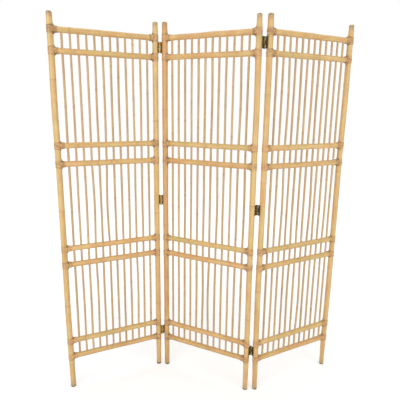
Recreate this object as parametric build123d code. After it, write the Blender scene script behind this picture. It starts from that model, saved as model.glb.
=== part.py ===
from build123d import *
from math import cos, radians
import os

# Three-panel folding screen of rattan poles and canes.
# Lengths are in millimetres and angles in degrees. +Z is up, +Y is the back,
# and the screen stands in a zigzag on the floor at z = 0.

# Panel frame: two upright posts joined by four pairs of rails
post_height = 1800.0
post_spacing = 467.0
post_radius = 13.5
post_top_chamfer = 2.5
rail_radius = 13.0
mouth_clearance = 0.1
low_rail_heights = (171.0, 664.0, 1152.5, 1642.5)
pair_spacings = (87.0, 82.0, 84.5, 86.5)

# Canes: thin uprights that run through every rail of a panel
cane_radius = 5.0
cane_sides = 12
cane_count = 12
cane_pitch = 34.7
cane_seat = 17.0

# Lashings: a peel band wound round the post wherever a rail meets it
lashing_thickness = 2.2
lashing_height = 30.0
lashing_clearance = 0.1
lashing_wrap = 205.0
lashing_folds = 5

# Butt hinges: three on each seam, their leaves on flats cut in the posts
leaf_height = 50.0
leaf_width = 20.0
leaf_thickness = 1.6
flat_height = 55.0
knuckle_radius = 4.5
knuckle_sides = 16
knuckle_count = 3
knuckle_clearance = 0.2
pin_radius = 2.0
pin_clearance = 0.05
pin_overhang = 1.0
pin_reach = 16.5
pin_offset = 19.0

# Stance: yaw of the middle panel, and how far each seam is folded from straight
middle_yaw = -26.3
left_fold = 51.7
right_fold = 54.1

rail_heights = [
    low + step for low, spacing in zip(low_rail_heights, pair_spacings) for step in (0, spacing)
]
hinge_heights = [
    (rail_heights[0] + rail_heights[1]) / 2,
    (rail_heights[3] + rail_heights[4]) / 2,
    (rail_heights[6] + rail_heights[7]) / 2,
]
flat_plane = pin_reach - knuckle_radius
knuckle_length = leaf_height / knuckle_count


def upright(radius, low, high, x=0.0, y=0.0):
    """A round bar standing at (x, y), from height low to height high."""
    bar = Cylinder(radius, high - low, align=(Align.CENTER, Align.CENTER, Align.MIN))
    return Pos(x, y, low) * bar


def sided_upright(radius, sides, low, high, x=0.0, y=0.0, outside=False):
    """A standing bar with flat sides, drawn inside a circle of the radius or outside it."""
    section = RegularPolygon(radius, sides, major_radius=not outside)
    return Pos(x, y, low) * extrude(section, high - low)


def block(x_ends, y_ends, z_ends):
    """A box between the given ends, which may come in either order."""
    spans = [sorted(ends) for ends in (x_ends, y_ends, z_ends)]
    sizes = [high - low for low, high in spans]
    middle = [(high + low) / 2 for low, high in spans]
    return Pos(*middle) * Box(*sizes)


def make_post(x, seam_side):
    """A pole at x; seam_side is +1 or -1 where hinges sit, and 0 where none do."""
    post = upright(post_radius, 0, post_height)
    post = chamfer(post.edges().filter_by(GeomType.CIRCLE).sort_by(Axis.Z)[-1], post_top_chamfer)
    if seam_side:
        for height in hinge_heights:
            faces = (height - flat_height / 2, height + flat_height / 2)
            across = (-post_radius, post_radius)
            post -= block((seam_side * flat_plane, seam_side * 2 * post_radius), across, faces)
    return Pos(x, 0, 0) * post


def make_rail(height):
    """A pole between the posts, each end cut to a square bird's mouth that seats on the post."""
    rail = Pos(0, 0, height) * Rot(0, 90, 0) * Cylinder(
        rail_radius, post_spacing, align=(Align.CENTER, Align.CENTER, Align.MIN)
    )
    seat = 2 * (post_radius + mouth_clearance)
    mouth = Rot(0, 0, 45) * Box(seat, seat, 4 * rail_radius)
    for x in (0, post_spacing):
        rail -= Pos(x, 0, height) * mouth
    return rail


def make_canes():
    """The row of canes, centred between the posts, their ends seated in the outer rails."""
    low = rail_heights[0] + rail_radius - cane_seat
    high = rail_heights[-1] - rail_radius + cane_seat
    first = (post_spacing - (cane_count - 1) * cane_pitch) / 2
    return [
        sided_upright(cane_radius, cane_sides, low, high, first + i * cane_pitch) for i in range(cane_count)
    ]


def make_lashings(x, rail_side):
    """The bands on one post, each folded round its far side and open towards the rail."""
    inner = post_radius + lashing_clearance
    outer = inner + lashing_thickness
    fold = lashing_wrap / lashing_folds
    start = (180.0 if rail_side > 0 else 0.0) - lashing_wrap / 2
    to_corner = 1 / cos(radians(fold / 2))
    outline = [Vector(outer * to_corner, 0).rotate(Axis.Z, start + i * fold) for i in range(lashing_folds + 1)]
    outline += [corner * (inner / outer) for corner in reversed(outline)]
    band = extrude(Polygon(*outline, align=None), lashing_height)
    return [Pos(x, 0, height - lashing_height / 2) * band for height in rail_heights]


def make_leaf(x, height, seam_side, pin_side, carries_pin):
    """One hinge leaf on the post at x, with its knuckles round the pin axis.

    The leaf that carries the pin has the outer knuckles, and the other has those between.
    """
    low = height - leaf_height / 2
    pin_x = x + seam_side * pin_reach
    pin_y = pin_side * pin_offset
    plate_x = (x + seam_side * flat_plane, x + seam_side * (flat_plane + leaf_thickness))
    edge_y = pin_y - pin_side * leaf_width
    root_y = pin_y - pin_side * (knuckle_radius + 2 * knuckle_clearance)
    leaf = block(plate_x, (root_y, edge_y), (low, low + leaf_height))
    bore = pin_radius if carries_pin else pin_radius + pin_clearance
    for i in range(0 if carries_pin else 1, knuckle_count, 2):
        start = low + i * knuckle_length + (knuckle_clearance / 2 if i else 0)
        stop = low + (i + 1) * knuckle_length - (knuckle_clearance / 2 if i < knuckle_count - 1 else 0)
        leaf += block(plate_x, (pin_y, root_y), (start, stop))
        leaf += sided_upright(knuckle_radius, knuckle_sides, start, stop, pin_x, pin_y)
    return leaf - sided_upright(bore, knuckle_sides, low, low + leaf_height, pin_x, pin_y, outside=True)


def make_leaves(x, seam_side, pin_side, carries_pin):
    return [make_leaf(x, height, seam_side, pin_side, carries_pin) for height in hinge_heights]


def make_pins(x, seam_side, pin_side):
    """The hinge pins of one seam, standing a little proud of the knuckles."""
    reach = leaf_height / 2 + pin_overhang
    return [
        upright(pin_radius, height - reach, height + reach, x + seam_side * pin_reach, pin_side * pin_offset)
        for height in hinge_heights
    ]


def make_panel(name, left_post, right_post):
    """Posts, rails, canes and lashings of one panel, in the panel's own frame.

    left_post and right_post are (word in the node names, seam side).
    """
    nodes = {}
    for (word, seam_side), x, rail_side in ((left_post, 0, 1), (right_post, post_spacing, -1)):
        nodes[f"{name}_{word}_post"] = [make_post(x, seam_side)]
        nodes[f"{name}_{word}_lashings"] = make_lashings(x, rail_side)
    for number, height in enumerate(rail_heights, start=1):
        nodes[f"{name}_rail_{number}"] = [make_rail(height)]
    nodes[f"{name}_canes"] = make_canes()
    return nodes


def make_nodes():
    """Every node in its own panel's frame, as {panel: {node: solids}}."""
    left = make_panel("left", ("outer", 0), ("seam", 1))
    middle = make_panel("middle", ("left", -1), ("right", 1))
    right = make_panel("right", ("seam", -1), ("outer", 0))
    left["left_seam_leaves"] = make_leaves(post_spacing, 1, -1, False)
    middle["middle_left_leaves"] = make_leaves(0, -1, -1, True)
    middle["middle_right_leaves"] = make_leaves(post_spacing, 1, 1, True)
    right["right_seam_leaves"] = make_leaves(0, -1, 1, False)
    middle["left_hinge_pins"] = make_pins(0, -1, -1)
    middle["right_hinge_pins"] = make_pins(post_spacing, 1, 1)
    return {"left": left, "middle": middle, "right": right}


def hang(neighbour, seam, yaw, own_seam):
    """Where a panel stands when its pin axis own_seam meets seam on its neighbour."""
    pin = neighbour * Pos(*seam)
    turned = Pos(pin.position.X, pin.position.Y, 0) * Rot(0, 0, yaw)
    return turned * Pos(-own_seam[0], -own_seam[1], 0)


def place_panels():
    """Where each panel stands when the middle panel's left post is at the origin."""
    near_pin = (-pin_reach, -pin_offset)
    far_pin = (post_spacing + pin_reach, pin_offset)
    left_pin = (post_spacing + pin_reach, -pin_offset)
    right_pin = (-pin_reach, pin_offset)
    middle = Rot(0, 0, middle_yaw)
    return {
        "left": hang(middle, near_pin, middle_yaw + left_fold, left_pin),
        "middle": middle,
        "right": hang(middle, far_pin, middle_yaw + right_fold, right_pin),
    }


places = place_panels()
standing = {
    node: places[panel] * Compound([part for solid in solids for part in solid.solids()])
    for panel, nodes in make_nodes().items()
    for node, solids in nodes.items()
}
box = Compound(list(standing.values())).bounding_box()
to_origin = Pos(-(box.min.X + box.max.X) / 2, -(box.min.Y + box.max.Y) / 2, 0)
os.makedirs("parts", exist_ok=True)
for node, group in standing.items():
    export_step(to_origin * group, f"parts/{node}.step")
for name, seam in (("left", (-pin_reach, -pin_offset)), ("right", (post_spacing + pin_reach, pin_offset))):
    axis = (to_origin * places["middle"] * Pos(*seam)).position
    print(f"{name} hinge axis at x {axis.X:.3f}, y {axis.Y:.3f}")
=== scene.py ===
import math
import random

import bmesh
import bpy
import numpy as np
from mathutils import Matrix, Vector


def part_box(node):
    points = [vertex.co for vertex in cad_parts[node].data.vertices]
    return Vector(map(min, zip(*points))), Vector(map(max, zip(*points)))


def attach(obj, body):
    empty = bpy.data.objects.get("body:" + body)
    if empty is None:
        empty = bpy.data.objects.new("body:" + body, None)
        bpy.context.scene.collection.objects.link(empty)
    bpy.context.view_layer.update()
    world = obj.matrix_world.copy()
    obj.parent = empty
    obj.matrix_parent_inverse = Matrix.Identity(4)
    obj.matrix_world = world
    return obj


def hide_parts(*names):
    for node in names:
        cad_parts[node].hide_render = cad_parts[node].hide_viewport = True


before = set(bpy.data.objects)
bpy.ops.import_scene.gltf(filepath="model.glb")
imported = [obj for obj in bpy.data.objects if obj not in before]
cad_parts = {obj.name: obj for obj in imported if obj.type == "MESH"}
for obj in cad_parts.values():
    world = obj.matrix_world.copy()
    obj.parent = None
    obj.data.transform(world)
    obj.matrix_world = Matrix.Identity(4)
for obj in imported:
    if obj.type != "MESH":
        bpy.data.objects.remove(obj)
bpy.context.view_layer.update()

# Lengths are in metres where nothing else is said, and MM turns millimetres into them
MM = 0.001

# Which posts each panel stands between, and which way each seam's hinges face
PANELS = {
    "left": ("left_outer", "left_seam"),
    "middle": ("middle_left", "middle_right"),
    "right": ("right_seam", "right_outer"),
}
SEAM_SIDE = {"left_seam": 1, "middle_left": -1, "middle_right": 1, "right_seam": -1}
PIN_SIDE = {"left_seam": -1, "middle_left": -1, "middle_right": 1, "right_seam": 1}
PIN_CARRIER = ("middle_left", "middle_right")
HINGE_PINS = {"middle_left": "left_hinge_pins", "middle_right": "right_hinge_pins"}
RAIL_COUNT = 8

# Heights of the growth rings that show on each post
POST_KNOTS = {
    "left_outer": (1.523, 0.935, 0.452),
    "left_seam": (1.345, 0.880, 0.372),
    "middle_left": (1.400, 0.816, 0.525),
    "middle_right": (1.617, 0.970, 0.395),
    "right_seam": (1.081, 0.546, 1.470),
    "right_outer": (1.106, 0.585, 1.530),
}
# How far each post bends sideways, as (height, distance along its panel) in millimetres
POST_BENDS = {
    "left_outer": ((0, 1.5), (400, -2.5), (750, -0.5), (1200, 0), (1400, -2), (1600, 0)),
    "left_seam": ((0, 2), (500, 1.5), (800, -0.5), (1500, 0.5), (1800, 2)),
    "middle_left": ((0, 2.5), (500, 1), (800, -0.5), (1200, 0), (1400, -1), (1700, 1), (1800, 0)),
    "middle_right": (
        (0, 1), (400, 1), (650, -1.5), (900, -0.5), (1100, -1.5), (1400, 1), (1600, -1), (1800, -3.5)
    ),
    "right_seam": ((0, 4), (250, 0.5), (520, -3), (750, -0.5), (1600, -0.5), (1800, -3)),
    "right_outer": (
        (0, 0), (150, -1), (450, 1.5), (800, 0), (1200, -1.5), (1480, 1.5), (1650, 0), (1800, 1.5)
    ),
}
# Radii of each post's foot and top in millimetres, a little less than its middle's
FOOT_RADII = {
    "left_outer": 13, "left_seam": 12.5, "middle_left": 13, "middle_right": 12.5, "right_seam": 12,
    "right_outer": 11.5,
}
TOP_RADII = {
    "left_outer": 12.5, "left_seam": 12, "middle_left": 12.5, "middle_right": 11.5, "right_seam": 12.5,
    "right_outer": 12,
}
# Each post's lightness and hue, where -1 is dark or cool and +1 light or warm
POST_TONES = {
    "left_outer": (0.5, -0.1), "left_seam": (0.9, 0), "middle_left": (-1.7, 0.9), "middle_right": (0.2, -0.2),
    "right_seam": (0, 0.1), "right_outer": (0, 0.3),
}
# Painted light and shade on each rail, from the lowest up: how much lighter or darker its colour is made for
# the light at its height
RAIL_PAINTED_LIGHT = (-1.4, -0.7, -0.3, 0.2, 0, 0.3, -0.2, -0.6)

# Distances from a post's end between which it thins, and over which its rim is rounded
FOOT_TAPER = (40 * MM, 150 * MM)
TOP_TAPER = (15 * MM, 60 * MM)
POST_ROUNDING = 6.0 * MM
FOOT_ROUNDING = 1.6 * MM
# How far soil reaches from a post's ends, and how strong it is at the sawn foot and above it.
# A SOIL_START above 1 keeps it at full strength for the first part of its reach.
SOILED_END = 16 * MM
SOILED_FOOT = 48 * MM
SOILED_TOP = 26 * MM
END_SOIL = 2.2
FOOT_SOIL = 0.6
SOIL_START = 1.2
# How close to the ends a post shows its sawn grain
SAWN_FOOT = 0.1 * MM
SAWN_TOP = 0.3 * MM
# Over what length bends are smoothed, how far poles stray from straight, how uneven they are, and
# how high their growth rings stand
BEND_SMOOTHING = 75 * MM
POST_DEPTH_STRAY = 0.5 * MM
RAIL_STRAY = 0.7 * MM
CANE_STRAY = 0.5 * MM
UNEVENNESS = 0.012
POLE_KNOT_HEIGHT = 0.35 * MM
CANE_KNOT_HEIGHT = 0.25 * MM
# How finely poles are drawn
POST_SIDES = 24
RAIL_SIDES = 20
CANE_SIDES = 12
POLE_RING_SPACING = 11 * MM
CANE_RING_SPACING = 22 * MM
CLOSEST_RINGS = 0.4 * MM
# How far a rail's end goes into the post's skin
SEAT_DEPTH = 0.3 * MM

# Canes: their number, spacing across the panel and radius
CANE_COUNT = 12
CANE_PITCH = 34.7 * MM
CANE_RADIUS = 5.1 * MM

# Canes bow a little between the pairs of rails, and these bow more: (panel, bay from the lowest up,
# cane from the left), both counted from 0, and the bow in millimetres
CANE_BOW = 1.1
BOWED_CANES = {
    ("left", 0, 3): 2.5, ("left", 0, 9): 2.5, ("left", 1, 3): 3.5, ("left", 1, 5): -4.5,
    ("left", 2, 7): -2.5,
    ("middle", 0, 5): 3, ("middle", 0, 6): -4, ("middle", 1, 7): 3.5, ("middle", 1, 11): 3,
    ("middle", 2, 6): 2.5, ("middle", 2, 10): 4,
    ("right", 0, 4): -2.5, ("right", 0, 6): 6.5, ("right", 0, 10): 2.5, ("right", 1, 2): 5,
    ("right", 1, 7): 6, ("right", 1, 10): 2.5, ("right", 2, 2): 4, ("right", 2, 6): 2,
}
# How far all of a panel's canes stand aside at the second rail and at the seventh, in millimetres
CANE_LEANS = {"left": (0.5, 2.5), "middle": (0, -1.2), "right": (0.5, -2)}

# Lashings: peel bands laid round each joint
BAND_WIDTH = 4.7 * MM
BAND_THICKNESS = 0.9 * MM
BAND_STEPS = 36
COLLAR_PLACES = (17.3 * MM, 21.9 * MM, 26.5 * MM)
COLLAR_LAYER = 1.5
# How far the lowest band stands off a pole, in millimetres
BAND_LIFT = 0.1
# Distances from the post's axis beyond which bands turn their flat side to the rail, and clear it
RAIL_FACED_FROM = 6 * MM
RAIL_CLEARED_FROM = 10 * MM
# Least gap to a pole that is reckoned with when a band's flat side is turned towards it
LEAST_GAP = 0.3 * MM
# Bands that bridge the corners above and below the rail, as (height on the post's far side,
# x and z in the corner, layer), in millimetres
CORNER_BANDS = (
    (-12.0, 14.9, 20.5, 0.0),
    (12.0, 14.9, -20.5, 0.7),
    (-6.5, 17.2, 18.4, 0.1),
    (6.5, 17.2, -18.4, 0.75),
    (0.5, 20.0, 15.6, 0.2),
    (-0.5, 20.0, -15.6, 0.8),
    (13.0, 14.6, 17.0, 0.35),
    (-13.0, 14.6, -17.0, 0.4),
)
# Bands that cross the front and back of the joint, as (height on the post's far side,
# x where they pass over or under the rail, +1 for over and -1 for under, layer)
CROSSING_BANDS = (
    (-3.6, 22.8, 1, 0.1),
    (3.6, 22.8, -1, 1.1),
    (-9.4, 28.8, 1, 0.35),
    (9.4, 28.8, -1, 0.85),
)
# How far round from a post's far side its nails sit, in degrees, so that those of two posts don't
# meet where their panels stand in line, and how far the heads' seats stand off the post
NAIL_TURN = 50
NAIL_LIFT = 1.75 * MM
# Where painted shade darkens a joint's bands most, in the corners between post and rail: x, height above or
# below the rail's middle, and reach
CORNER_SHADE = (15.5 * MM, 15 * MM, 4.5 * MM)
# Joints whose bands differ from the rest, by post and by rail counted from 0 at the lowest, with
# their lightness and hue
BAND_TONES = {("left_outer", 7): (-2.2, 0.7), ("middle_left", 7): (0.4, 1), ("right_seam", 7): (-0.9, 0.2)}

# Hinges, as the solids have them apart from the eased knuckles and the screws
LEAF_HEIGHT = 50 * MM
LEAF_WIDTH = 20 * MM
LEAF_THICKNESS = 1.6 * MM
FLAT_PLANE = 12 * MM
FLAT_HEIGHT = 55 * MM
FLAT_EDGE = 0.05 * MM
KNUCKLE_RADIUS = 4.5 * MM
KNUCKLE_GAP = 0.2 * MM
KNUCKLE_COUNT = 3
KNUCKLE_EASE = 0.35 * MM
PIN_RADIUS = 2.0 * MM
PIN_CLEARANCE = 0.05 * MM
PIN_OVERHANG = 1 * MM
PIN_REACH = 16.5 * MM
PIN_OFFSET = 19 * MM
SCREW_HEIGHTS = (-17 * MM, 0, 17 * MM)
SCREW_INSET = 16.3 * MM
SCREW_RADIUS = 2.5 * MM
SHANK_SHARE = 0.45

# Smooth shading breaks where faces meet at more than this angle
SHARP_ANGLE = math.radians(38)

# The floor's half width, its glow near and far, and the distances between which the glow grows
FLOOR_SPAN = 6.0
FLOOR_GLOW = (0.44, 0.61)
FLOOR_GLOW_REACH = (0.9, 2.4)
# The room's light on the object, and as it looks to the camera and in reflections
WORLD_LIGHT = 0.52
WORLD_SEEN = 1.0
# Where the lamps point
LAMP_TARGET = (0, 0, 0.9)
# The camera: its place, its yaw, pitch and roll in degrees, and its lens on a 36 mm sensor
CAMERA_PLACE = (-0.033, -1.921, 1.412)
CAMERA_TURN = (0.11, -12.92, 0.72)
CAMERA_SENSOR = 36
CAMERA_LENS = 36.23


def axis_of(node):
    """Where an upright pole stands on the floor."""
    low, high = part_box(node)
    middle = (low + high) / 2
    return Vector((middle.x, middle.y, 0))


def panel_place(panel):
    """Panel space to the scene: x from the left post to the right one, y to the back, z up."""
    start, end = (axis_of(f"{post}_post") for post in PANELS[panel])
    along = end - start
    return Matrix.Translation(start) @ Matrix.Rotation(math.atan2(along.y, along.x), 4, "Z")


def middle_height(node):
    low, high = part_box(node)
    return (low.z + high.z) / 2


post_low, post_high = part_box("left_outer_post")
POST_HEIGHT = post_high.z
POST_RADIUS = (post_high.x - post_low.x) / 2
rail_low, rail_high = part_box("left_rail_1")
RAIL_RADIUS = (rail_high.z - rail_low.z) / 2
RAIL_HEIGHTS = [middle_height(f"left_rail_{i}") for i in range(1, RAIL_COUNT + 1)]
POST_SPACING = (axis_of("middle_right_post") - axis_of("middle_left_post")).length
HINGE_HEIGHTS = [
    (RAIL_HEIGHTS[low] + RAIL_HEIGHTS[low + 1]) / 2 for low in (0, 3, 6)
]


class Shape:
    """Points and faces of one object, with what its material reads at every point.

    grain is the place in the pole's or band's own space, and tone its lightness and hue.
    mark is how much growth ring, sawn end and soil shows, or on a band how much painted corner shade.
    """

    def __init__(self):
        self.points, self.grain, self.tone, self.mark = [], [], [], []
        self.faces = []
        self.count = 0

    def add(self, rings, grain, tone=(0, 0), mark=None, place=Matrix(), loop=False):
        """A skin over a row of rings; loop joins the last ring to the first, else both are capped."""
        rows, sides, _ = rings.shape
        points = rings.reshape(-1, 3) @ np.array(place.to_3x3()).T + np.array(place.translation)
        self.points.append(points)
        self.grain.append(np.broadcast_to(grain, rings.shape).reshape(-1, 3))
        self.tone.append(np.tile((*tone, 0), (len(points), 1)))
        marks = np.zeros((rows, sides, 3)) if mark is None else np.broadcast_to(mark, rings.shape)
        self.mark.append(marks.reshape(-1, 3))
        steps = np.arange(rows if loop else rows - 1)[:, None]
        here, there = np.arange(sides), (np.arange(sides) + 1) % sides
        above = (steps + 1) % rows
        quads = np.stack(
            [steps * sides + here, steps * sides + there, above * sides + there, above * sides + here], -1
        )
        self.faces += (quads.reshape(-1, 4) + self.count).tolist()
        if not loop:
            self.faces.append((here[::-1] + self.count).tolist())
            self.faces.append((here + (rows - 1) * sides + self.count).tolist())
        self.count += len(points)

    def finish(self, name, material, body, nodes, slot):
        """The object, riding on its body, in place of the CAD nodes it stands for."""
        mesh = bpy.data.meshes.new(name)
        mesh.from_pydata(np.concatenate(self.points).tolist(), [], self.faces)
        for label, parts in (("grain", self.grain), ("tone", self.tone), ("mark", self.mark)):
            layer = mesh.attributes.new(label, "FLOAT_VECTOR", "POINT")
            layer.data.foreach_set("vector", np.concatenate(parts).astype(np.float32).ravel())
        settle(name, mesh, material, body, nodes)


def settle(name, mesh, material, body, nodes):
    """Makes mesh a smooth-shaded object with a body and the nodes it replaces."""
    shell = bmesh.new()
    shell.from_mesh(mesh)
    bmesh.ops.recalc_face_normals(shell, faces=shell.faces)
    shell.to_mesh(mesh)
    shell.free()
    mesh.shade_smooth()
    mesh.set_sharp_from_angle(angle=SHARP_ANGLE)
    mesh.materials.append(material)
    piece = bpy.data.objects.new(name, mesh)
    bpy.context.scene.collection.objects.link(piece)
    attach(piece, body)
    if nodes:
        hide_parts(*nodes)


class Stray:
    """How far a pole strays sideways at a distance along it: two slow waves each way."""

    def __init__(self, rng, reach, length):
        self.waves = [
            (
                reach * share,
                2 * math.pi / (length * rng.uniform(low, low * 1.5)),
                rng.uniform(0, 2 * math.pi),
            )
            for share, low in ((0.65, 0.55), (0.35, 0.22), (0.65, 0.6), (0.35, 0.2))
        ]

    def __call__(self, along):
        values = [reach * np.sin(along * pace + start) for reach, pace, start in self.waves]
        return np.stack([values[0] + values[1], values[2] + values[3]], -1)


def stations(length, spacing, knots, extra=()):
    """Distances along a pole where it needs a ring, closer together round the growth rings."""
    near = (-9, -5, -3, -1.8, -0.9, 0, 0.9, 1.8, 3, 5, 9)
    marks = [knot + step * MM for knot in knots for step in near]
    marks += list(np.linspace(0, length, max(2, round(length / spacing))))
    marks = sorted(m for m in marks if 0 <= m <= length)
    kept = [m for m, after in zip(marks, marks[1:] + [math.inf]) if after - m > CLOSEST_RINGS]
    return np.array(sorted(set(kept) | set(extra)))


def knot_profile(along, knots, height):
    """(swelling, darkness) at each distance: a low ridge, a sharper one above it, and a dark line."""
    swell, dark = np.zeros_like(along), np.zeros_like(along)
    for knot in knots:
        away = (along - knot) / MM
        swell += height * (np.exp(-((away + 4) / 5) ** 2) + 0.8 * np.exp(-(away / 1.6) ** 2))
        dark += np.exp(-((away - 1.2) / 1.3) ** 2) + 0.35 * np.exp(-((away + 2) / 6) ** 2)
    return swell, dark


def full_turn(steps):
    """Angles of a whole turn in equal steps."""
    return np.arange(steps) * 2 * math.pi / steps


def round_section(sides):
    """Points of a circle of radius 1."""
    turn = full_turn(sides)
    return np.stack([np.cos(turn), np.sin(turn)], -1)


def pole(rng, radius, sides, along, knots, stray, knot_height=POLE_KNOT_HEIGHT):
    """Rings of a pole on the Z axis, and how much growth ring each shows.

    radius is one size, or one for each ring.
    """
    swell, dark = knot_profile(along, knots, knot_height)
    pace, start = rng.uniform(9, 14), rng.uniform(0, 2 * math.pi)
    size = radius * (1 + UNEVENNESS * np.sin(along * pace + start)) + swell
    section = round_section(sides)
    lean = rng.uniform(0, math.pi)
    oval = 1 + UNEVENNESS * np.cos(2 * (full_turn(sides) - lean))
    flat = size[:, None, None] * section * oval[:, None] + stray(along)[:, None, :]
    height = np.broadcast_to(along[:, None, None], (len(along), sides, 1))
    return np.concatenate([flat, height], -1), np.minimum(dark, 1)


def ring_mark(dark, sawn=0, soil=0):
    """What a pole's material reads as mark, from one value for each ring."""
    return np.stack(np.broadcast_arrays(dark, sawn, soil), -1)[:, None, :]


def own_grain(rings, rng):
    """The rings' own places, moved to a stretch of grain of this pole alone."""
    return rings + np.array([rng.uniform(-9, 9), rng.uniform(-9, 9), rng.uniform(-9, 9)])


def ease_end(rings, distance, rounding):
    """Pulls rings within rounding of an end in towards the axis along a quarter circle."""
    depth = np.clip(1 - distance / rounding, 0, 1)
    inset = rounding * (1 - np.sqrt(1 - depth ** 2))
    centre = rings[:, :, :2].mean(1, keepdims=True)
    spoke = rings[:, :, :2] - centre
    reach = np.linalg.norm(spoke, axis=-1, keepdims=True)
    rings[:, :, :2] = centre + spoke * (1 - inset[:, None, None] / reach)


class Bend:
    """How far a post strays at a height: its own bends along the panel, and slow waves in depth."""

    def __init__(self, post):
        heights, shifts = np.array(POST_BENDS[post]).T * MM
        self.heights = np.linspace(-0.1, POST_HEIGHT + 0.1, 400)
        rough = np.interp(self.heights, heights, shifts)
        step = self.heights[1] - self.heights[0]
        reach = np.arange(-40, 41) * step
        weights = np.exp(-((reach / BEND_SMOOTHING) ** 2))
        padded = np.pad(rough, 40, mode="edge")
        self.shifts = np.convolve(padded, weights / weights.sum(), mode="valid")
        self.waves = Stray(random.Random(f"{post} stray"), POST_DEPTH_STRAY, POST_HEIGHT)

    def __call__(self, along):
        return np.stack([np.interp(along, self.heights, self.shifts), self.waves(along)[:, 1]], -1)


# One bend for each post, so that rails and lashings can follow it
post_strays = {post: Bend(post) for posts in PANELS.values() for post in posts}


def thinning(distance, taper):
    """1 up to the near end of a taper and 0 past its far end, eased between."""
    near, far = taper
    share = (far - distance) / (far - near)
    share = np.clip(share, 0, 1)
    return share * share * (3 - 2 * share)


def make_post(panel, post, x):
    rng = random.Random(f"{post} post")
    knots = POST_KNOTS[post]
    quarter = np.array([0, 0.08, 0.25, 0.5, 0.75, 1])
    extra = list(POST_HEIGHT - POST_ROUNDING * quarter) + list(FOOT_ROUNDING * quarter)
    extra += [SOILED_END * 0.3, SOILED_END * 0.6, SOILED_END, SOILED_END * 1.3]
    seam = SEAM_SIDE.get(post, 0)
    step = FLAT_EDGE
    for height in HINGE_HEIGHTS if seam else ():
        for end in (height - FLAT_HEIGHT / 2, height + FLAT_HEIGHT / 2):
            extra += [end - step, end + step]
    along = stations(POST_HEIGHT, POLE_RING_SPACING, knots, extra)
    slim = POST_RADIUS - FOOT_RADII[post] * MM
    radius = POST_RADIUS - slim * thinning(along, FOOT_TAPER)
    slim = POST_RADIUS - TOP_RADII[post] * MM
    radius -= slim * thinning(POST_HEIGHT - along, TOP_TAPER)
    rings, dark = pole(rng, radius, POST_SIDES, along, knots, post_strays[post])
    ease_end(rings, POST_HEIGHT - along, POST_ROUNDING)
    ease_end(rings, along, FOOT_ROUNDING)
    grain = own_grain(rings, rng)
    if seam:
        for height in HINGE_HEIGHTS:
            cut = np.abs(along - height) < FLAT_HEIGHT / 2
            rings[cut, :, 0] = seam * np.minimum(seam * rings[cut, :, 0], FLAT_PLANE)
    sawn = ((along < SAWN_FOOT) | (along > POST_HEIGHT - SAWN_TOP)).astype(float)
    end = END_SOIL * np.clip(1 - along / SOILED_END, 0, 1)
    foot = np.maximum(end, FOOT_SOIL * np.clip(SOIL_START - along / SOILED_FOOT, 0, 1))
    top = np.clip(SOIL_START - (POST_HEIGHT - along) / SOILED_TOP, 0, 1)
    mark = ring_mark(dark, sawn, np.maximum(foot, top))
    place = panel_place(panel) @ Matrix.Translation((x, 0, 0))
    shape = Shape()
    shape.add(rings, grain, POST_TONES[post], mark, place)
    shape.finish(f"{post}_pole", pole_material, f"{panel}_panel", [f"{post}_post"], "rattan_pole")


def make_rail(panel, number):
    name = f"{panel}_rail_{number}"
    rng = random.Random(name)
    height = RAIL_HEIGHTS[number - 1]
    knots = sorted(rng.uniform(0.06, POST_SPACING - 0.06) for _ in range(rng.choice((1, 2))))
    along = stations(POST_SPACING, POLE_RING_SPACING, knots)
    bow = Stray(rng, RAIL_STRAY, POST_SPACING)
    rings, dark = pole(rng, RAIL_RADIUS, RAIL_SIDES, along, knots, lambda s: np.zeros((len(s), 2)))
    grain = own_grain(rings, rng)
    share = (along / POST_SPACING)[:, None]
    ends = [post_strays[post](np.array([height]))[0] for post in PANELS[panel]]
    swing = bow(along) * np.sin(math.pi * share)
    across = rings[:, :, 1]
    saddle = np.sqrt(np.maximum(POST_RADIUS ** 2 - across ** 2, 0)) - SEAT_DEPTH
    start = ends[0][0] + saddle
    stop = POST_SPACING + ends[1][0] - saddle
    rings[:, :, 2] = start + share * (stop - start)
    rings[:, :, 0] += swing[:, :1]
    rings[:, :, 1] += swing[:, 1:] + ends[0][1] + share * (ends[1][1] - ends[0][1])
    # The first part of the tone is the rail's painted light and shade for its height, with a random part
    # added
    tone = (RAIL_PAINTED_LIGHT[number - 1] + rng.uniform(-0.6, 0.6), rng.uniform(-0.8, 0.8))
    place = panel_place(panel) @ Matrix.Translation((0, 0, height)) @ Matrix.Rotation(math.pi / 2, 4, "Y")
    shape = Shape()
    shape.add(rings, grain, tone, ring_mark(dark), place)
    shape.finish(f"{name}_pole", pole_material, f"{panel}_panel", [name], "rattan_pole")


class CaneBend:
    """How far one cane strays: its panel's lean, a bow in each bay between pairs of rails, and waves."""

    def __init__(self, panel, i, rng, low, length):
        self.low = low
        self.lean = np.array(CANE_LEANS[panel]) * MM
        self.waves = Stray(rng, CANE_STRAY, length)
        self.bows = [
            BOWED_CANES.get((panel, bay, i), rng.uniform(-CANE_BOW, CANE_BOW)) * MM for bay in range(3)
        ]

    def __call__(self, along):
        height = along + self.low
        aside = np.interp(height, (RAIL_HEIGHTS[1], RAIL_HEIGHTS[6]), self.lean)
        for bay, bow in enumerate(self.bows):
            start, end = RAIL_HEIGHTS[2 * bay + 1], RAIL_HEIGHTS[2 * bay + 2]
            share = np.clip((height - start) / (end - start), 0, 1)
            aside = aside + bow * np.sin(math.pi * share) ** 1.3
        stray = self.waves(along)
        stray[:, 0] += aside
        return stray


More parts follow.
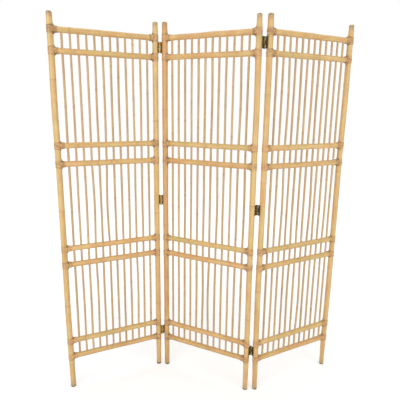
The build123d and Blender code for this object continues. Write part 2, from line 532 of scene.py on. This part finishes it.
def make_canes(panel):
    low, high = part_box(f"{panel}_canes")
    length = high.z - low.z
    first = (POST_SPACING - (CANE_COUNT - 1) * CANE_PITCH) / 2
    shape = Shape()
    for i in range(CANE_COUNT):
        rng = random.Random(f"{panel} cane {i}")
        knots = [rng.uniform(0.1, 0.3)]
        while knots[-1] < length - 0.3:
            knots.append(knots[-1] + rng.uniform(0.22, 0.45))
        along = stations(length, CANE_RING_SPACING, knots)
        stray = CaneBend(panel, i, rng, low.z, length)
        radius = CANE_RADIUS * rng.uniform(0.94, 1.04)
        rings, dark = pole(rng, radius, CANE_SIDES, along, knots, stray, CANE_KNOT_HEIGHT)
        tone = (rng.uniform(-1, 1), rng.uniform(-0.7, 0.7))
        place = panel_place(panel) @ Matrix.Translation((first + i * CANE_PITCH, 0, low.z))
        shape.add(rings, own_grain(rings, rng), tone, ring_mark(dark), place)
    name = f"{panel}_canes"
    shape.finish(f"{name}_row", cane_material, f"{panel}_panel", [name], "rattan_cane")


def band_section(width):
    """The section of a peel band: flat beneath, crowned on top, as (across, up) pairs."""
    half = width / 2
    edge = 0.55 * BAND_THICKNESS
    return np.array([(-half, 0), (half, 0), (half, edge), (0, BAND_THICKNESS), (-half, edge)])


def smooth_loop(line, passes):
    """Evens out a closed row of points or directions."""
    for _ in range(passes):
        line = (np.roll(line, 1, 0) + 2 * line + np.roll(line, -1, 0)) / 4
    return line


def lay_band(shape, line, width, tone, rng, place):
    """A closed band along line, its flat side towards the poles it is wound on."""
    post_gap = np.maximum(np.hypot(line[:, 0], line[:, 1]) - POST_RADIUS, 0) + LEAST_GAP
    rail_gap = np.maximum(np.hypot(line[:, 1], line[:, 2]) - RAIL_RADIUS, 0) + LEAST_GAP
    rail_gap = np.where(line[:, 0] > RAIL_FACED_FROM, rail_gap, 1)
    up = line * [1, 1, 0] / np.hypot(line[:, 0], line[:, 1])[:, None] / post_gap[:, None] ** 2
    up += line * [0, 1, 1] / np.hypot(line[:, 1], line[:, 2])[:, None] / rail_gap[:, None] ** 2
    up /= np.linalg.norm(up, axis=-1, keepdims=True)
    up = smooth_loop(up, 3)
    ahead = np.roll(line, -1, 0) - np.roll(line, 1, 0)
    ahead /= np.linalg.norm(ahead, axis=-1, keepdims=True)
    side = np.cross(ahead, up)
    side /= np.linalg.norm(side, axis=-1, keepdims=True)
    up = np.cross(side, ahead)
    section = band_section(width)
    rings = line[:, None, :] + side[:, None, :] * section[:, :1] + up[:, None, :] * section[:, 1:]
    steps = np.linalg.norm(np.roll(line, -1, 0) - line, axis=-1)
    grain = np.zeros(rings.shape)
    grain[:, :, 0] = section[:, 0] / width * 2
    grain[:, :, 1] = np.cumsum(steps)[:, None]
    grain[:, :, 2] = rng.uniform(0, 50)
    # The first part of a band's mark is painted shade, darkest in the corners between post and rail
    away = np.hypot(rings[:, :, 0] - CORNER_SHADE[0], np.abs(rings[:, :, 2]) - CORNER_SHADE[1])
    mark = np.zeros(rings.shape)
    mark[:, :, 0] = np.exp(-((away / CORNER_SHADE[2]) ** 2))
    shape.add(rings, grain, tone, mark, place, loop=True)


def clear_of_poles(line, lift):
    """Moves points that are inside a pole out to lift above its surface."""
    reach = np.hypot(line[:, 0], line[:, 1])[:, None]
    grow = np.maximum((POST_RADIUS + lift[:, None]) / reach, 1)
    line = line * np.concatenate([grow, grow, np.ones_like(grow)], -1)
    reach = np.hypot(line[:, 1], line[:, 2])[:, None]
    grow = np.maximum((RAIL_RADIUS + lift[:, None]) / reach, 1)
    grow = np.where(line[:, :1] > RAIL_CLEARED_FROM, grow, 1)
    return line * np.concatenate([np.ones_like(grow), grow, grow], -1)


def post_band(outer, inner_x, inner_z, layer):
    """A loop round the post: at height outer on its far side, and in the corner beside the rail."""
    turn = full_turn(BAND_STEPS)
    near = (1 + np.cos(turn)) / 2
    lift = (BAND_LIFT + layer * np.clip(0.5 + near, 0, 1)) * MM
    radius = POST_RADIUS + lift
    tangent = np.arccos(np.clip(radius / inner_x, -1, 1))
    away = np.minimum(turn, 2 * math.pi - turn)
    radius = radius / np.cos(np.maximum(tangent - away, 0))
    height = outer + (inner_z - outer) * near
    line = np.stack([radius * np.cos(turn), radius * np.sin(turn), height], -1)
    return clear_of_poles(smooth_loop(line, 2), lift)


def joint_band(outer, inner_x, side, layer):
    """A loop from height outer on the post's far side, across the joint, to the rail's top or underside."""
    turn = full_turn(BAND_STEPS)
    lift = (BAND_LIFT + layer * np.clip(1 + 0.5 * np.cos(turn), 0, 1)) * MM
    post_reach, rail_reach = POST_RADIUS + lift, RAIL_RADIUS + lift
    x = (inner_x - post_reach) / 2 + (inner_x + post_reach) / 2 * np.cos(turn)
    share = (x + post_reach) / (inner_x + post_reach)
    z = outer + (side * rail_reach - outer) * share
    over_post = np.sqrt(np.maximum(post_reach ** 2 - x ** 2, 0))
    over_rail = np.sqrt(np.maximum(rail_reach ** 2 - z ** 2, 0)) * (x > 0)
    y = np.maximum(over_post, over_rail) * np.where(turn < math.pi, 1, -1)
    line = smooth_loop(np.stack([x, y, z], -1), 1)
    return clear_of_poles(line, lift)


def collar_band(x, lean, layer):
    """A loop round the rail's end, leaning a little."""
    turn = full_turn(BAND_STEPS)
    radius = RAIL_RADIUS + (BAND_LIFT + layer) * MM
    return np.stack([x + lean * np.cos(turn), radius * np.cos(turn), radius * np.sin(turn)], -1)


def make_lashings(panel, post, x, rail_side):
    """The bands and nail heads of one post's eight joints."""
    bands, nails = Shape(), Shape()
    for number, height in enumerate(RAIL_HEIGHTS):
        rng = random.Random(f"{post} lashing {number}")
        stray = post_strays[post](np.array([height]))[0]
        place = panel_place(panel) @ Matrix.Translation((x + stray[0], stray[1], height))
        if rail_side < 0:
            place = place @ Matrix.Rotation(math.pi, 4, "Z")
        if rng.random() < 0.5:
            place = place @ Matrix.Rotation(math.pi, 4, "X")
        light, hue = rng.uniform(-0.7, 0.6), rng.uniform(-1, 1)
        light, hue = BAND_TONES.get((post, number), (light, hue))
        lines = []
        for outer, inner_x, side, layer in CROSSING_BANDS:
            outer = (outer + rng.uniform(-0.6, 0.6)) * MM
            inner_x = (inner_x + rng.uniform(-1, 1)) * MM
            lines.append(joint_band(outer, inner_x, side, layer))
        for outer, inner_x, inner_z, layer in CORNER_BANDS:
            shift = rng.uniform(-0.4, 0.4)
            inner_x = (inner_x + rng.uniform(-0.5, 0.5)) * MM
            lines.append(post_band((outer + shift) * MM, inner_x, (inner_z + shift) * MM, layer))
        for place_x in COLLAR_PLACES[: rng.choice((2, 3, 3))]:
            place_x = place_x + rng.uniform(-0.3, 0.3) * MM
            lines.append(collar_band(place_x, rng.uniform(-0.8, 0.8) * MM, COLLAR_LAYER))
        for line in lines:
            tone = (light + rng.choice((-1.5, -0.5, 0, 0.4, 0.8)), hue + rng.uniform(-0.4, 0.4))
            lay_band(bands, line, BAND_WIDTH * rng.uniform(0.9, 1.04), tone, rng, place)
        nail_place = place @ Matrix.Rotation(math.radians(NAIL_TURN * (-1) ** number), 4, "Z")
        nails.add(nail_rings(), np.zeros(3), (rng.uniform(-1, 1), 0), None, nail_place)
    name = f"{post}_lashings"
    bands.finish(f"{name}_bands", band_material, f"{panel}_panel", [name], "peel_lashing")
    nails.finish(f"{post}_nails", brass_material, f"{panel}_panel", [], "hinge_brass")


def lathe(profile, sides):
    """Rings about the Z axis from (radius, height) pairs."""
    section = round_section(sides)
    return np.array([[(radius * c, radius * s, height) for c, s in section] for radius, height in profile])


def nail_rings():
    """A nail's domed head at a post's far side, pointing away from the rail."""
    profile = [(1.2, -2), (1.2, -0.1), (1.9, 0), (1.9, 0.3), (1.6, 0.65), (0.9, 0.85)]
    head = lathe([(radius * MM, height * MM) for radius, height in profile], 14)
    outward = POST_RADIUS + NAIL_LIFT
    return np.stack([-(head[:, :, 2] + outward), head[:, :, 0], head[:, :, 1]], -1)


def solid(rings):
    """A closed mesh from one row of rings."""
    shape = Shape()
    shape.add(rings, np.zeros(3))
    mesh = bpy.data.meshes.new("solid")
    mesh.from_pydata(np.concatenate(shape.points).tolist(), [], shape.faces)
    return mesh


def block(low, high):
    """Rings of a box between two corners."""
    (x0, y0, z0), (x1, y1, z1) = low, high
    return np.array([[(x0, y0, z), (x1, y0, z), (x1, y1, z), (x0, y1, z)] for z in (z0, z1)])


def moved(rings, x, y, z=0):
    return rings + np.array([x, y, z])


def laid(rings):
    """Rings about the Z axis turned to point along X."""
    return np.stack([rings[:, :, 2], rings[:, :, 0], rings[:, :, 1]], -1)


def combined(base, others, operation):
    """base with each of the other meshes joined on or cut away."""
    holder = bpy.data.objects.new("base", base)
    helpers = [bpy.data.objects.new("helper", mesh) for mesh in others]
    for helper in [holder, *helpers]:
        bpy.context.scene.collection.objects.link(helper)
    for helper in helpers:
        step = holder.modifiers.new("step", "BOOLEAN")
        step.object = helper
        step.operation = operation
        step.solver = "EXACT"
    bpy.context.view_layer.update()
    result = bpy.data.meshes.new_from_object(holder.evaluated_get(bpy.context.evaluated_depsgraph_get()))
    for helper in [holder, *helpers]:
        bpy.data.objects.remove(helper)
    return result


def leaf_mesh(carries_pin):
    """One hinge leaf with its knuckles, for a seam on +X whose pin lies towards +Y."""
    half = LEAF_HEIGHT / 2
    outer_face = FLAT_PLANE + LEAF_THICKNESS
    root = PIN_OFFSET - KNUCKLE_RADIUS - 2 * KNUCKLE_GAP
    edge = PIN_OFFSET - LEAF_WIDTH
    leaf = solid(block((FLAT_PLANE, edge, -half), (outer_face, root, half)))
    knuckles = []
    third = LEAF_HEIGHT / KNUCKLE_COUNT
    for i in (0, 2) if carries_pin else (1,):
        low = -half + i * third + (KNUCKLE_GAP / 2 if i else 0)
        high = -half + (i + 1) * third - (KNUCKLE_GAP / 2 if i < 2 else 0)
        profile = [
            (KNUCKLE_RADIUS - KNUCKLE_EASE, low),
            (KNUCKLE_RADIUS, low + KNUCKLE_EASE),
            (KNUCKLE_RADIUS, high - KNUCKLE_EASE),
            (KNUCKLE_RADIUS - KNUCKLE_EASE, high),
        ]
        knuckles.append(solid(moved(lathe(profile, 32), PIN_REACH, PIN_OFFSET)))
        knuckles.append(solid(block((FLAT_PLANE, root - MM, low), (outer_face, PIN_OFFSET, high))))
    leaf = combined(leaf, knuckles, "UNION")
    bore = [(PIN_RADIUS + PIN_CLEARANCE, -LEAF_HEIGHT), (PIN_RADIUS + PIN_CLEARANCE, LEAF_HEIGHT)]
    cuts = [solid(moved(lathe(bore, 24), PIN_REACH, PIN_OFFSET))]
    for height in SCREW_HEIGHTS:
        sink = [
            (SCREW_RADIUS * SHANK_SHARE, FLAT_PLANE - MM),
            (SCREW_RADIUS * SHANK_SHARE, FLAT_PLANE + 0.2 * MM),
            (SCREW_RADIUS, outer_face),
            (SCREW_RADIUS, outer_face + MM),
        ]
        cuts.append(solid(moved(laid(lathe(sink, 24)), 0, PIN_OFFSET - SCREW_INSET, height)))
    return combined(leaf, cuts, "DIFFERENCE")


def screw_mesh():
    """A countersunk screw head with a slot, pointing along X, its rim level with the leaf."""
    face = FLAT_PLANE + LEAF_THICKNESS
    profile = [
        (SCREW_RADIUS * SHANK_SHARE, FLAT_PLANE - MM),
        (SCREW_RADIUS * SHANK_SHARE, FLAT_PLANE + 0.3 * MM),
        (SCREW_RADIUS * 0.94, face - 0.1 * MM),
        (SCREW_RADIUS * 0.9, face + 0.05 * MM),
        (SCREW_RADIUS * 0.5, face + 0.2 * MM),
    ]
    head = solid(laid(lathe(profile, 24)))
    low = (face - 0.5 * MM, -SCREW_RADIUS * 2, -0.3 * MM)
    slot = solid(block(low, (face + MM, SCREW_RADIUS * 2, 0.3 * MM)))
    return combined(head, [slot], "DIFFERENCE")


def joined(meshes_and_places):
    """One mesh from (mesh, matrix) pairs."""
    whole = bmesh.new()
    for mesh, place in meshes_and_places:
        copy = mesh.copy()
        copy.transform(place)
        whole.from_mesh(copy)
    mesh = bpy.data.meshes.new("joined")
    whole.to_mesh(mesh)
    whole.free()
    return mesh


def make_hinge_leaves(panel, post, x):
    """The three leaves on one seam post, and their screws."""
    mirror = Matrix.Diagonal((SEAM_SIDE[post], PIN_SIDE[post], 1, 1))
    leaf = leaf_mesh(post in PIN_CARRIER)
    screw = screw_mesh()
    leaves, screws = [], []
    rng = random.Random(f"{post} screws")
    for height in HINGE_HEIGHTS:
        place = panel_place(panel) @ Matrix.Translation((x, 0, height)) @ mirror
        leaves.append((leaf, place))
        for step in SCREW_HEIGHTS:
            spot = Matrix.Translation((0, PIN_OFFSET - SCREW_INSET, step))
            screws.append((screw, place @ spot @ Matrix.Rotation(rng.uniform(0, math.pi), 4, "X")))
    body = f"{panel}_panel"
    # The leaves at the seam whose pins face the front get a lighter copy of the brass, which is painted
    # light; the other seam's leaves keep the darker one
    finish = lit_brass_material if PIN_SIDE[post] < 0 else brass_material
    settle(f"{post}_hinge_leaves", joined(leaves), finish, body, [f"{post}_leaves"])
    settle(f"{post}_screws", joined(screws), screw_material, body, [])


def make_pins(post, x):
    """The three hinge pins of a seam, with domed ends."""
    node = HINGE_PINS[post]
    reach = LEAF_HEIGHT / 2 + PIN_OVERHANG
    ends = [(0.35, 0), (0.75, 0.2), (1, 0.7)]
    profile = [(PIN_RADIUS * size, -reach + step * MM) for size, step in ends]
    profile += [(PIN_RADIUS * size, reach - step * MM) for size, step in reversed(ends)]
    place = panel_place("middle") @ Matrix.Translation(
        (x + SEAM_SIDE[post] * PIN_REACH, PIN_SIDE[post] * PIN_OFFSET, 0)
    )
    pin = solid(lathe(profile, 20))
    pins = [(pin, place @ Matrix.Translation((0, 0, height))) for height in HINGE_HEIGHTS]
    settle(f"{node}_rods", joined(pins), brass_material, "middle_panel", [node])


def colour(red, green, blue):
    """A colour written as on a screen, from 0 to 255, for a shader."""
    linear = [((c / 255 + 0.055) / 1.055) ** 2.4 for c in (red, green, blue)]
    return (*linear, 1)


class Paint:
    """Short ways to wire up one material."""

    def __init__(self, name):
        self.material = bpy.data.materials.new(name)
        self.material.use_nodes = True
        self.tree = self.material.node_tree
        self.shader = self.tree.nodes["Principled BSDF"]

    def node(self, kind, **settings):
        node = self.tree.nodes.new(f"ShaderNode{kind}")
        for name, value in settings.items():
            setattr(node, name, value)
        return node

    def feed(self, socket, value):
        """Links an output to a socket, or sets the socket to a plain value."""
        if isinstance(value, bpy.types.NodeSocket):
            self.tree.links.new(value, socket)
        else:
            socket.default_value = value

    def read(self, name):
        """A point attribute, and its three parts."""
        source = self.node("Attribute", attribute_name=name)
        split = self.node("SeparateXYZ")
        self.feed(split.inputs[0], source.outputs["Vector"])
        return source.outputs["Vector"], split.outputs

    def math(self, operation, first, second=0.0, third=0.0, clamp=False):
        node = self.node("Math", operation=operation, use_clamp=clamp)
        for socket, value in zip(node.inputs, (first, second, third)):
            self.feed(socket, value)
        return node.outputs[0]

    def stretch(self, vector, scale):
        node = self.node("VectorMath", operation="MULTIPLY")
        self.feed(node.inputs[0], vector)
        node.inputs[1].default_value = scale
        return node.outputs[0]

    def noise(self, vector, scale, detail=3.0, roughness=0.55):
        node = self.node("TexNoise")
        self.feed(node.inputs["Vector"], self.stretch(vector, scale))
        node.inputs["Scale"].default_value = 1
        node.inputs["Detail"].default_value = detail
        node.inputs["Roughness"].default_value = roughness
        return node.outputs["Fac"]

    def spread(self, value, low, high, start=0.0, end=1.0):
        """value from low..high brought to start..end, and held there."""
        node = self.node("MapRange")
        for name, number in (("From Min", low), ("From Max", high), ("To Min", start), ("To Max", end)):
            node.inputs[name].default_value = number
        self.feed(node.inputs["Value"], value)
        return node.outputs[0]

    def mix(self, share, first, second):
        """share 0 gives the first colour, and 1 the second."""
        node = self.node("Mix", data_type="RGBA")
        self.feed(node.inputs[0], share)
        self.feed(node.inputs[6], first)
        self.feed(node.inputs[7], second)
        return node.outputs[2]

    def bump(self, height, strength, distance):
        node = self.node("Bump")
        node.inputs["Strength"].default_value = strength
        node.inputs["Distance"].default_value = distance
        self.feed(node.inputs["Height"], height)
        return node.outputs[0]

    def set(self, **inputs):
        for name, value in inputs.items():
            self.feed(self.shader.inputs[name.replace("_", " ")], value)


def rattan(name, light, middle, dark, warm, cool, ring):
    """Polished rattan: fibres along the pole, slow patches, growth rings, flecks and sawn ends."""
    paint = Paint(name)
    grain, _ = paint.read("grain")
    _, tone = paint.read("tone")
    _, mark = paint.read("mark")
    fibres = paint.noise(grain, (420, 420, 7), 4, 0.6)
    streaks = paint.noise(grain, (110, 110, 3.2), 3, 0.5)
    patches = paint.noise(grain, (26, 26, 9), 2, 0.5)
    clouds = paint.noise(grain, (40, 40, 14), 3, 0.55)
    base = paint.mix(paint.spread(streaks, 0.35, 0.65), middle, light)
    base = paint.mix(paint.spread(fibres, 0.5, 0.72, 0, 0.5), base, dark)
    hue = paint.math("ADD", paint.spread(patches, 0.3, 0.7, -1.1, 1.1), tone[1])
    base = paint.mix(paint.math("MULTIPLY", hue, 0.5, clamp=True), base, warm)
    base = paint.mix(paint.math("MULTIPLY", hue, -0.5, clamp=True), base, cool)
    shade = paint.math("MULTIPLY_ADD", tone[0], -0.16, paint.spread(clouds, 0.32, 0.68, -0.14, 0.46))
    base = paint.mix(paint.math("MAXIMUM", shade, 0), base, dark)
    flecks = paint.spread(paint.noise(grain, (700, 700, 110), 2, 0.6), 0.66, 0.74, 0, 0.55)
    base = paint.mix(flecks, base, ring)
    broken = paint.spread(paint.noise(grain, (90, 90, 60), 2), 0.3, 0.6, 0.45, 1)
    base = paint.mix(paint.math("MULTIPLY", paint.math("MULTIPLY", mark[0], broken), 0.5), base, ring)
    blotches = paint.spread(paint.noise(grain, (120, 120, 90), 3), 0.4, 0.6)
    soil = paint.math("MULTIPLY", mark[2], paint.spread(blotches, 0, 1, 0.4, 0.85))
    base = paint.mix(paint.math("MINIMUM", soil, 0.7), base, colour(154, 136, 110))
    grime = paint.math("MULTIPLY_ADD", soil, 1.6, -0.9, clamp=True)
    base = paint.mix(grime, base, colour(104, 90, 74))
    pores = paint.node("TexVoronoi")
    paint.feed(pores.inputs["Vector"], paint.stretch(grain, (1500, 1500, 0)))
    pores.inputs["Scale"].default_value = 1
    sawn = paint.mix(
        paint.spread(pores.outputs["Distance"], 0.18, 0.45), colour(112, 84, 56), colour(196, 168, 126)
    )
    base = paint.mix(mark[1], base, sawn)
    height = paint.math("MULTIPLY_ADD", streaks, 0.5, fibres)
    paint.set(
        Base_Color=base,
        Roughness=paint.spread(fibres, 0.3, 0.7, 0.4, 0.56),
        Normal=paint.bump(height, 0.35, 0.25 * MM),
        Coat_Weight=0.18,
        Coat_Roughness=0.3,
    )
    return paint.material


def peel(name):
    """Split rattan peel: painted shade at its edges and in the joint's corners, with fine lengthwise lines.
    """
    paint = Paint(name)
    grain, place = paint.read("grain")
    _, tone = paint.read("tone")
    _, mark = paint.read("mark")
    lines = paint.noise(grain, (6, 26, 9), 4, 0.65)
    patches = paint.noise(grain, (0.6, 90, 3), 2)
    base = paint.mix(paint.spread(lines, 0.35, 0.65), colour(221, 171, 108), colour(245, 199, 136))
    hue = paint.math("ADD", paint.spread(patches, 0.3, 0.7, -0.8, 0.8), tone[1])
    base = paint.mix(paint.math("MULTIPLY", hue, 0.4, clamp=True), base, colour(228, 168, 116))
    base = paint.mix(paint.math("MULTIPLY", hue, -0.4, clamp=True), base, colour(212, 176, 104))
    shade = paint.math("MULTIPLY_ADD", tone[0], -0.25, paint.spread(patches, 0.3, 0.7, -0.1, 0.25))
    base = paint.mix(paint.math("MAXIMUM", shade, 0), base, colour(158, 112, 72))
    # Painted shade along the band's edges, where neighbouring bands shade each other
    rim = paint.spread(paint.math("ABSOLUTE", place[0]), 0.5, 1, 0, 0.75)
    base = paint.mix(rim, base, colour(128, 88, 50))
    threads = paint.spread(paint.noise(grain, (16, 60, 9), 2), 0.55, 0.75, 0, 0.5)
    base = paint.mix(threads, base, colour(140, 96, 58))
    # Painted shade in the corners between post and rail, broken up by the patches
    corner_shade = paint.math("MULTIPLY", mark[0], paint.spread(patches, 0.35, 0.6, 0.5, 0.95))
    base = paint.mix(corner_shade, base, colour(88, 60, 34))
    paint.set(
        Base_Color=base,
        Roughness=paint.spread(lines, 0.3, 0.7, 0.36, 0.52),
        Normal=paint.bump(lines, 0.4, 0.2 * MM),
        Coat_Weight=0.2,
        Coat_Roughness=0.28,
    )
    return paint.material


def metal(name, dark, bright, roughness):
    """Aged brass: a dark patina that is rubbed brighter in patches, with fine scratches."""
    paint = Paint(name)
    place = paint.node("TexCoord").outputs["Object"]
    patina = paint.noise(place, (160, 160, 160), 4, 0.65)
    scratches = paint.noise(place, (2600, 2600, 240), 2)
    base = paint.mix(paint.spread(patina, 0.42, 0.68), dark, bright)
    paint.set(
        Base_Color=base,
        Metallic=0.75,
        Roughness=paint.spread(patina, 0.3, 0.7, roughness + 0.1, roughness - 0.06),
        Normal=paint.bump(scratches, 0.25, 0.08 * MM),
    )
    return paint.material


def make_floor():
    """A pale floor that looks white where it is lit, whiter far away, and keeps the screen's shadow."""
    span = FLOOR_SPAN
    mesh = bpy.data.meshes.new("floor")
    corners = [(-span, -span, 0), (span, -span, 0), (span, span, 0), (-span, span, 0)]
    mesh.from_pydata(corners, [], [(0, 1, 2, 3)])
    floor = bpy.data.objects.new("floor", mesh)
    bpy.context.scene.collection.objects.link(floor)
    paint = Paint("floor_finish")
    paint.set(Base_Color=colour(226, 226, 226), Roughness=0.9, Specular_IOR_Level=0.1)
    glow = paint.node("Emission")
    rays = paint.node("LightPath")
    seen = paint.math("MAXIMUM", rays.outputs["Is Camera Ray"], rays.outputs["Is Glossy Ray"])
    seen = paint.math("MAXIMUM", seen, rays.outputs["Is Transmission Ray"])
    away = paint.node("VectorMath", operation="LENGTH")
    paint.feed(away.inputs[0], paint.node("TexCoord").outputs["Object"])
    white = paint.spread(away.outputs["Value"], *FLOOR_GLOW_REACH, *FLOOR_GLOW)
    paint.feed(glow.inputs["Strength"], paint.math("MULTIPLY", seen, white))
    both = paint.node("AddShader")
    paint.feed(both.inputs[0], paint.shader.outputs[0])
    paint.feed(both.inputs[1], glow.outputs[0])
    paint.feed(paint.tree.nodes["Material Output"].inputs["Surface"], both.outputs[0])
    mesh.materials.append(paint.material)


def make_world():
    """A soft and even room light that looks white to the camera and in reflections."""
    world = bpy.data.worlds.new("studio")
    bpy.context.scene.world = world
    world.use_nodes = True
    tree = world.node_tree
    back = tree.nodes["Background"]
    rays = tree.nodes.new("ShaderNodeLightPath")
    seen = rays.outputs["Is Camera Ray"]
    for kind in ("Is Glossy Ray", "Is Transmission Ray"):
        either = tree.nodes.new("ShaderNodeMath")
        either.operation = "MAXIMUM"
        tree.links.new(seen, either.inputs[0])
        tree.links.new(rays.outputs[kind], either.inputs[1])
        seen = either.outputs[0]
    strength = tree.nodes.new("ShaderNodeMapRange")
    strength.inputs["To Min"].default_value = WORLD_LIGHT
    strength.inputs["To Max"].default_value = WORLD_SEEN
    tree.links.new(seen, strength.inputs["Value"])
    tree.links.new(strength.outputs[0], back.inputs["Strength"])
    back.inputs["Color"].default_value = (1, 1, 1, 1)


def make_lamp(name, place, size, power):
    """An area lamp that points at the screen's middle; power is in watts."""
    light = bpy.data.lights.new(name, "AREA")
    light.shape = "RECTANGLE"
    light.size, light.size_y = size
    light.energy = power
    lamp = bpy.data.objects.new(name, light)
    bpy.context.scene.collection.objects.link(lamp)
    lamp.location = place
    lamp.rotation_euler = (Vector(LAMP_TARGET) - Vector(place)).to_track_quat("-Z", "Y").to_euler()


def make_camera():
    """The photograph's view: a standing camera that looks slightly down, rolled a little."""
    yaw, pitch, roll = (math.radians(angle) for angle in CAMERA_TURN)
    forward = Vector(
        (math.sin(yaw) * math.cos(pitch), math.cos(yaw) * math.cos(pitch), math.sin(pitch))
    )
    level = Vector((math.cos(yaw), -math.sin(yaw), 0))
    upward = level.cross(forward)
    right = level * math.cos(roll) + upward * math.sin(roll)
    top = upward * math.cos(roll) - level * math.sin(roll)
    turn = Matrix((right, top, -forward)).transposed().to_4x4()
    data = bpy.data.cameras.new("camera")
    data.sensor_width = CAMERA_SENSOR
    data.lens = CAMERA_LENS
    camera = bpy.data.objects.new("camera", data)
    bpy.context.scene.collection.objects.link(camera)
    camera.matrix_world = Matrix.Translation(CAMERA_PLACE) @ turn
    bpy.context.scene.camera = camera


pole_material = rattan(
    "rattan_pole_finish",
    light=colour(238, 204, 140),
    middle=colour(227, 184, 116),
    dark=colour(194, 148, 90),
    warm=colour(228, 170, 112),
    cool=colour(208, 184, 116),
    ring=colour(168, 122, 74),
)
cane_material = rattan(
    "rattan_cane_finish",
    light=colour(222, 188, 134),
    middle=colour(208, 170, 118),
    dark=colour(178, 142, 98),
    warm=colour(212, 162, 118),
    cool=colour(194, 174, 124),
    ring=colour(150, 112, 74),
)
band_material = peel("peel_lashing_finish")
brass_material = metal("aged_brass_finish", colour(90, 78, 54), colour(158, 136, 90), 0.46)
# A lighter copy of the aged brass: painted light for the hinge leaves whose pins face the front
lit_brass_material = metal("lit_brass_finish", colour(148, 126, 78), colour(206, 182, 120), 0.44)
screw_material = metal("screw_finish", colour(104, 94, 70), colour(188, 176, 142), 0.36)

for panel, posts in PANELS.items():
    for post, x, rail_side in zip(posts, (0, POST_SPACING), (1, -1)):
        make_post(panel, post, x)
        make_lashings(panel, post, x, rail_side)
        if post in SEAM_SIDE:
            make_hinge_leaves(panel, post, x)
        if post in PIN_CARRIER:
            make_pins(post, x)
    for number in range(1, RAIL_COUNT + 1):
        make_rail(panel, number)
    make_canes(panel)

make_floor()
make_world()
make_lamp("key", (-2.0, -2.8, 1.7), (2.4, 2.4), 40)
make_lamp("fill", (2.4, -2.6, 1.4), (2.4, 2.4), 35)
make_lamp("top", (0, 0.4, 4.2), (3.5, 2.5), 30)
make_camera()
bpy.context.scene.view_settings.view_transform = "Standard"
